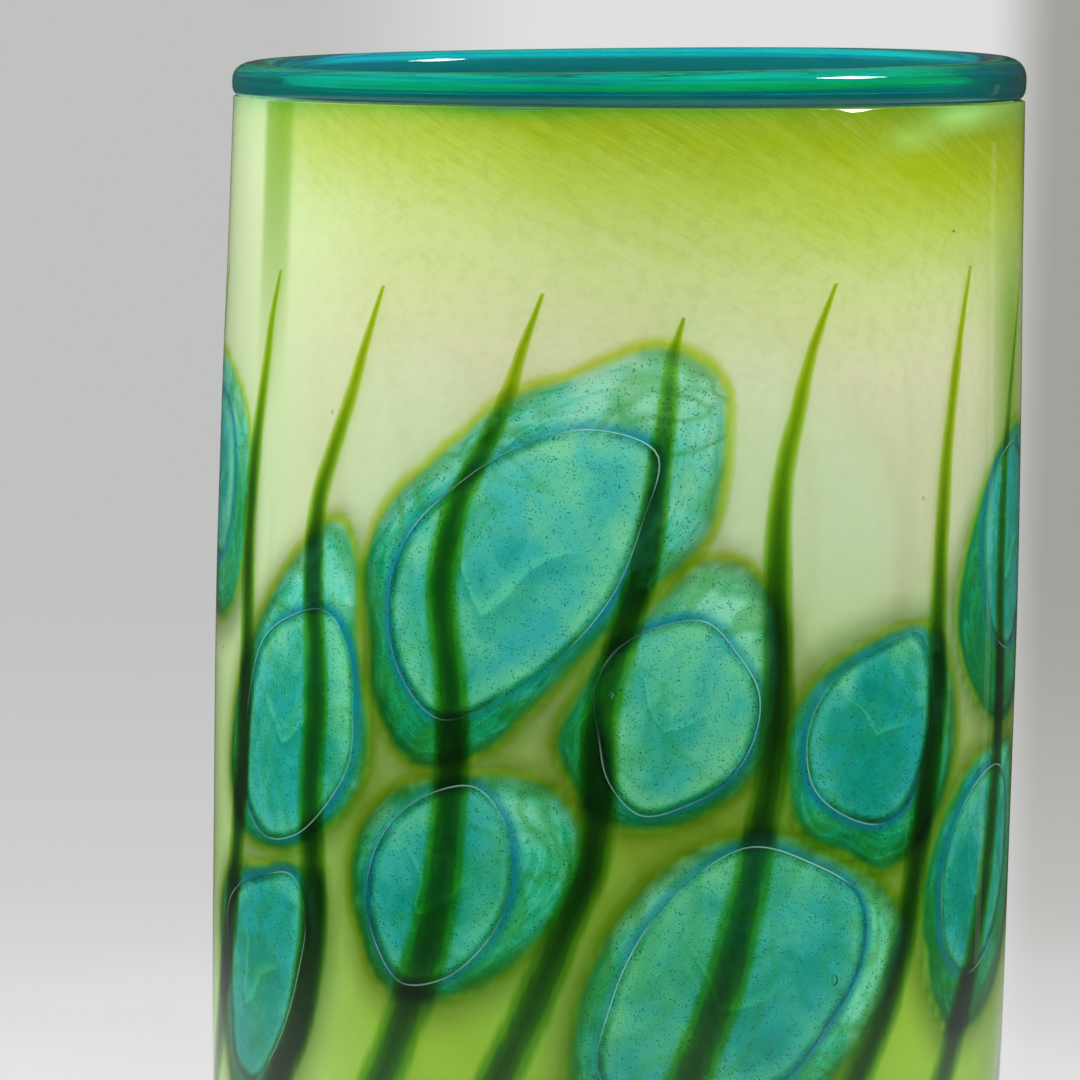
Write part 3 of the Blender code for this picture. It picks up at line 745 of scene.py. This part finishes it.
def inside(point, outline):
    """True if a point is within a closed polyline."""
    odd = False
    for here, there in zip(outline, outline[1:] + outline[:1]):
        if (here.y > point.y) != (there.y > point.y):
            crossing = here.x + (point.y - here.y) * (there.x - here.x) / (there.y - here.y)
            odd ^= point.x < crossing
    return odd


def flat_outline(node, origin, per_degree, points):
    """A CAD patch's smooth outline in mm across and up from an (angle, height) origin."""
    rough = cad_outline(node)[1]
    shift = 360.0 * round((origin.x - rough[0].x) / 360.0)
    flat = [Vector(((p.x + shift - origin.x) * per_degree, p.y - origin.y)) for p in rough]
    return smooth_closed(flat, points)


OVERLAY_SEGMENTS = 216
OVERLAY_FLOOR = 8.7                 # underside of the skin in the base, mm
SKIRT_REACH = 8.0                   # how far the powder can be darkened round a halo, mm
WISP_DROP, WISP_BEND, WISP_END = 8.1, 0.0036, 78.0   # a pale wisp that rises to the lip
POWDER_RADIUS = 58.0                # of the skin, rounded, mm
LEFT_SHADE_BAND, RIGHT_SHADE_BAND = -61.8, 77.0  # upright dark bands painted in the powder as shade at the sides of the wall, degrees
LEAN = 1.9                          # how far the powder is drawn round per mm of drop, degrees


class Blot:
    """The outline of a CAD patch, to measure from in mm along the wall."""

    def __init__(self, node, points):
        self.middle = cad_outline(node)[0]
        self.per_degree = math.radians(1.0) * (barrel_radius(self.middle.y) - HALO[0])
        self.line = flat_outline(node, self.middle, self.per_degree, points)
        self.size = max(p.length for p in self.line)

    def gap(self, angle, height):
        """How far a place on the wall is outside the outline; less than nothing inside."""
        turn = (angle - self.middle.x + 180.0) % 360.0 - 180.0
        place = Vector((turn * self.per_degree, height - self.middle.y))
        if place.length > self.size + SKIRT_REACH:
            return SKIRT_REACH
        distance = nearest(place, self.line)
        return -distance if inside(place, self.line) else min(distance, SKIRT_REACH)


HALO_BLOTS = [Blot(node, 40) for node in HALOS]
CORE_BLOTS = [Blot(node, 32) for node in CORES]


def build_overlay():
    """The skin of lime powder, with marks on it for what lies near, how it was drawn, and painted
    light and shade at its sides.
    """
    outer = cup_side(OVERLAY[0], OVERLAY_FLOOR, 15.7, 100)
    inner = cup_side(OVERLAY[1], OVERLAY_FLOOR + 0.5, 15.2, 100)

    def shape(angle, radius, height, index):
        return radius, height + rim_lift(angle, height)

    bm = lathe(outer + inner[::-1], OVERLAY_SEGMENTS, shape)
    layers = [bm.verts.layers.float.new(name)
              for name in ("drop", "skirt", "glow", "wisp", "streaks_and_edge_shade", "left_edge_light")]
    twist_layer = bm.verts.layers.float_vector.new("twist")
    known = {}
    for vert in bm.verts:
        angle = math.degrees(math.atan2(vert.co.x, -vert.co.y))
        height = vert.co.z / MM
        key = (round(angle), round(height))
        if key not in known:
            halo = min(blot.gap(angle, height) for blot in HALO_BLOTS)
            core = min(blot.gap(angle, height) for blot in CORE_BLOTS)
            low = smoothstep(52.0, 92.0, TOP - height)
            skirt = smoothstep(3.0 + 4.0 * low, 0.0, halo) * smoothstep(-3.0, 0.0, halo)
            glow = max((0.62 + 0.33 * low) * smoothstep(0.5, -2.5, halo),
                       smoothstep(1.0, -2.0, core))
            known[key] = (skirt * (0.12 + 0.68 * low), glow)
        drop = TOP - height
        lean = 7.0 * math.sin(math.radians(angle + 8.0))
        trail = WISP_DROP + WISP_BEND * (WISP_END - angle) ** 2
        wisp = math.exp(-((drop - trail) / 1.4) ** 2) * smoothstep(30.0, 62.0, angle)
        # Two upright dark bands painted as shade: one down the left side, one high on the right.
        streaks_and_edge_shade = (0.80 * smoothstep(5.2, 2.8, abs(angle - LEFT_SHADE_BAND)) * smoothstep(62.0, 12.0, drop)
                + 0.95 * math.exp(-((angle - RIGHT_SHADE_BAND) / 8.0) ** 2)
                * smoothstep(16.0, 44.0, drop))
        # Near the lip on the left side the level is pushed lower, which paints the powder paler
        # there as light caught at that edge.
        left_edge_paling = 16.0 * smoothstep(-58.0, -70.0, angle) * smoothstep(-125.0, -100.0, angle)
        values = (drop - (lean - left_edge_paling) * smoothstep(60.0, 20.0, drop), *known[key],
                  wisp * smoothstep(130.0, 95.0, angle), streaks_and_edge_shade,
                  smoothstep(-28.0, -70.0, angle) * smoothstep(-140.0, -105.0, angle))
        drawn = math.radians(angle - LEAN * drop)
        vert[twist_layer] = (POWDER_RADIUS * math.sin(drawn), POWDER_RADIUS * math.cos(drawn),
                             0.17 * drop)
        for layer, value in zip(layers, values):
            vert[layer] = value
    return new_piece("lime_layer", bm, lime_powder(), ("lime_overlay",))


def grown(outline, reach):
    """A closed outline moved outwards, square to itself."""
    moved = []
    for before, here, after in zip(outline[-1:] + outline[:-1], outline,
                                   outline[1:] + outline[:1]):
        along = (after - before).normalized()
        out = Vector((along.y, -along.x))
        moved.append(here + out * math.copysign(reach, out.dot(here)))
    return moved


def build_patch(node, name, depth, material, tone, rise, grow, core=None):
    """A fused pillow of glass within a CAD patch's outline, moved out by `grow` mm.

    Its surface carries the distance from its edge and from the core's, its tone, which face
    it is on, and coordinates for its creases and brush marks.
    """
    middle = cad_outline(node)[0]
    per_degree = math.radians(1.0) * (barrel_radius(middle.y) - depth[0])
    outline = flat_outline(node, middle, per_degree, PATCH_POINTS)
    outline = grown(outline, grow)
    core_line = flat_outline(core, middle, per_degree, 64) if core else None
    size = max(p.length for p in outline)
    bm = bmesh.new()
    layers = bm.verts.layers
    edge_layer = layers.float.new("edge")
    tone_layer = layers.float.new("tone")
    ring_layer = layers.float.new("ring")
    face_layer = layers.float.new("face")
    local_layer = layers.float_vector.new("local")
    fibre_layer = layers.float_vector.new("fibre")
    thick = depth[1] - depth[0]
    centre_depth = 0.5 * (depth[0] + depth[1])

    def add(point, distance, ring, upper):
        half = 0.5 * thick * smoothstep(0.0, 1.6, distance)
        sink = centre_depth - half if upper else centre_depth + half
        vert = bm.verts.new(on_wall(middle.x + point.x / per_degree, middle.y + point.y, sink))
        vert[edge_layer] = distance - grow
        vert[tone_layer] = tone + rise * (point.y + 0.45 * point.x) / size
        vert[ring_layer] = ring
        vert[face_layer] = 1.0 if upper else 0.0
        vert[local_layer] = (point.x / size + 0.12, point.y / size, tone * 37.0)
        vert[fibre_layer] = (FIBRE_ALONG * point.x, FIBRE_ALONG * point.y,
                             FIBRE_ACROSS * distance)
        return vert

    places = []
    for inset in INSETS:
        row = []
        for p in outline:
            q = p * (1.0 - inset)
            distance = nearest(q, outline) if inset else 0.0
            ring = FAR
            if core_line:
                ring = nearest(q, core_line) * (-1.0 if inside(q, core_line) else 1.0)
            row.append((q, distance, ring))
        places.append(row)
    shared = [add(*place, True) for place in places[0]]
    for upper in (True, False):
        loops = [shared] + [[add(*place, upper) for place in row] for row in places[1:]]
        heart = Vector((0.0, 0.0))
        centre = add(heart, nearest(heart, outline), -FAR if core_line else FAR, upper)
        for wide, narrow in zip(loops, loops[1:]):
            for k in range(len(outline)):
                bm.faces.new((wide[k - 1], wide[k], narrow[k], narrow[k - 1]))
        for k in range(len(outline)):
            bm.faces.new((loops[-1][k - 1], loops[-1][k], centre))
    bmesh.ops.recalc_face_normals(bm, faces=bm.faces)
    return new_piece(name, bm, material, (node,))


STEM_RING = 16
STEM_SPREAD = 1.50                  # the soft sides reach past the CAD stem
STEM_LEAST, STEM_TAPER = 1.6, 18.0    # least half width, and the tip that narrows to it, mm


def build_stem(node, name, material):
    """A drawn stem with soft sides along a CAD trail."""
    path = smooth_open(cad_path(node), 7)
    bm = bmesh.new()
    across_layer = bm.verts.layers.float.new("across")
    girth_layer = bm.verts.layers.float.new("girth")
    deep_layer = bm.verts.layers.float.new("deep")
    loops = []
    middle_depth = 0.5 * (TRAIL[0] + TRAIL[1])
    half_depth = 0.5 * (TRAIL[1] - TRAIL[0])
    tip = max(height for angle, height, half in path)
    for angle, height, half in path:
        per_degree = math.radians(1.0) * barrel_radius(height)
        soft = STEM_LEAST * smoothstep(0.0, STEM_TAPER, tip - height) / per_degree
        half = max(half * STEM_SPREAD, soft, 0.04)
        halo = min(blot.gap(angle, height) for blot in HALO_BLOTS)
        core = min(blot.gap(angle, height) for blot in CORE_BLOTS)
        deep = smoothstep(1.5, -1.0, halo) * smoothstep(-1.2, 0.6, core)
        loop = []
        for j in range(STEM_RING):
            bearing = 2 * math.pi * j / STEM_RING
            side = math.cos(bearing)
            vert = bm.verts.new(on_wall(angle + side * half, height,
                                        middle_depth - half_depth * math.sin(bearing)))
            vert[across_layer] = abs(side)
            vert[girth_layer] = 2.0 * half * per_degree
            vert[deep_layer] = deep * smoothstep(45.0, 85.0, TOP - height)
            loop.append(vert)
        loops.append(loop)
    for above, below in zip(loops, loops[1:]):
        for j in range(STEM_RING):
            bm.faces.new((above[j - 1], above[j], below[j], below[j - 1]))
    bm.faces.new(loops[0])
    bm.faces.new(loops[-1])
    bmesh.ops.recalc_face_normals(bm, faces=bm.faces)
    return new_piece(name, bm, material, (node,))


build_body()
build_overlay()
build_lip()
stem_material = stem_glass()
for node in TRAILS:
    build_stem(node, node.replace("trail", "stem"), stem_material)
halo_material = halo_glass()
core_material = core_glass()
for index, node in enumerate(HALOS):
    depth = tuple(d + LAYER_STEP * (index % 4) for d in HALO)
    build_patch(node, node.replace("halo", "teal_halo"), depth, halo_material,
                HALO_TONES[index % len(HALO_TONES)], HALO_RISE, HALO_SPREAD,
                node.replace("halo", "core"))
for index, node in enumerate(CORES):
    build_patch(node, node.replace("core", "turquoise_core"), CORE, core_material,
                CORE_TONES[index % len(CORE_TONES)], CORE_RISE, 0.0)


# ------------------------------------------------------------ stage and camera

def build_table():
    """The round pale table that the vase stands on."""
    bm = bmesh.new()
    bmesh.ops.create_circle(bm, cap_ends=True, segments=128, radius=TABLE_RADIUS)
    mesh = bpy.data.meshes.new("pale_table")
    bm.to_mesh(mesh)
    bm.free()
    table = bpy.data.objects.new("pale_table", mesh)
    mesh.materials.append(pale_floor())
    bpy.context.scene.collection.objects.link(table)


LIGHT_AIM = 0.19                    # height that every lamp points at, m


def area_light(name, azimuth, elevation, distance, size, power, seen=False):
    """A soft light aimed at the vase. Azimuth 0 is the best side, positive towards +X."""
    data = bpy.data.lights.new(name, "AREA")
    data.shape = "RECTANGLE"
    data.size, data.size_y = size
    data.energy = power
    lamp = bpy.data.objects.new(name, data)
    turn, lift = math.radians(azimuth), math.radians(elevation)
    aim = Vector((0.0, 0.0, LIGHT_AIM))
    away = Vector((math.sin(turn) * math.cos(lift), -math.cos(turn) * math.cos(lift),
                   math.sin(lift)))
    lamp.location = aim + away * distance
    lamp.rotation_euler = away.to_track_quat("Z", "Y").to_euler()
    lamp.visible_camera = False
    lamp.visible_glossy = seen
    lamp.visible_transmission = False
    bpy.context.scene.collection.objects.link(lamp)


def build_world():
    """A soft grey studio: pale low down, with a dim panel at the back on the right."""
    world = bpy.data.worlds.new("studio")
    bpy.context.scene.world = world
    s = Shader("studio", world)
    where = s.put("TexCoord").outputs["Generated"]
    axes = s.put("SeparateXYZ", Vector=where).outputs
    shade = s.ramp(axes[2], ((0.0, (0.62, 0.63, 0.62)), (1.0, (0.85, 0.87, 0.88))))
    behind = s.step(axes[1], 0.90, 0.98)
    left = s.math("MULTIPLY", s.step(axes[0], -0.060, -0.01), behind)
    shade = s.mix(s.math("MULTIPLY", left, 0.85), shade, (0.92, 0.92, 0.92))
    right = s.math("MULTIPLY", s.step(axes[0], 0.060, 0.074), behind)
    shade = s.mix(right, shade, (0.42, 0.425, 0.39))
    low = s.math("MULTIPLY", s.step(axes[2], -0.10, -0.19), behind)
    shade = s.mix(s.math("MULTIPLY", low, 0.5), shade, (0.90, 0.90, 0.90))
    glossy = s.put("LightPath").outputs["Is Glossy Ray"]
    lit = s.put("Background", Color=shade)
    s.feed(lit.inputs["Strength"], s.step(glossy, 0.0, 1.0, 0.85, 0.10))
    out = s.put("OutputWorld")
    s.tree.links.new(lit.outputs[0], out.inputs[0])


CAMERA_DISTANCE = 0.90
CAMERA_RISE = 23.65                 # above the top of the wall, mm
LENS = 193.6
PITCH, YAW, ROLL = 5.91, 0.775, 1.267   # degrees


def build_camera():
    """A long lens on the best side, a little above the rim."""
    data = bpy.data.cameras.new("camera")
    data.lens = LENS
    data.sensor_width = 36.0
    data.clip_start = 0.01
    camera = bpy.data.objects.new("camera", data)
    pitch, yaw, roll = (math.radians(v) for v in (PITCH, YAW, ROLL))
    forward = Vector((-math.sin(yaw) * math.cos(pitch), math.cos(yaw) * math.cos(pitch),
                      -math.sin(pitch)))
    right = forward.cross(Vector((0.0, 0.0, 1.0))).normalized()
    up = right.cross(forward)
    turned_right = right * math.cos(roll) + up * math.sin(roll)
    turned_up = up * math.cos(roll) - right * math.sin(roll)
    basis = Matrix((turned_right, turned_up, -forward)).transposed().to_4x4()
    height = (WALL_TOP + CAMERA_RISE) * MM
    camera.matrix_world = Matrix.Translation((0.0, -CAMERA_DISTANCE, height)) @ basis
    bpy.context.scene.collection.objects.link(camera)
    bpy.context.scene.camera = camera


build_table()
build_world()
area_light("window", 89.0, 52.0, 2.2, (0.34, 0.46), 18.0, seen=True)
area_light("window_pane", 100.0, 52.0, 2.2, (0.12, 0.42), 4.0, seen=True)
area_light("side_strip", 131.0, -5.0, 2.2, (0.14, 0.52), 0.045, seen=True)
area_light("left_softbox", -95.0, 22.0, 1.6, (1.0, 1.2), 16.0)
area_light("right_softbox", 105.0, 20.0, 1.6, (1.0, 1.2), 16.0)
area_light("front_fill", -15.0, 30.0, 2.4, (1.6, 1.2), 28.0)
area_light("back_light", 180.0, 28.0, 1.8, (1.4, 1.0), 30.0)
area_light("top_light", 10.0, 84.0, 1.2, (0.5, 0.5), 8.0)
build_camera()

scene = bpy.context.scene
scene.view_settings.view_transform = "Standard"
scene.view_settings.look = "None"
scene.cycles.max_bounces = 10
scene.cycles.transmission_bounces = 8
scene.cycles.transparent_max_bounces = 32
scene.cycles.diffuse_bounces = 2
scene.cycles.glossy_bounces = 3
scene.cycles.caustics_reflective = False
scene.cycles.caustics_refractive = True
scene.cycles.sample_clamp_indirect = 6.0
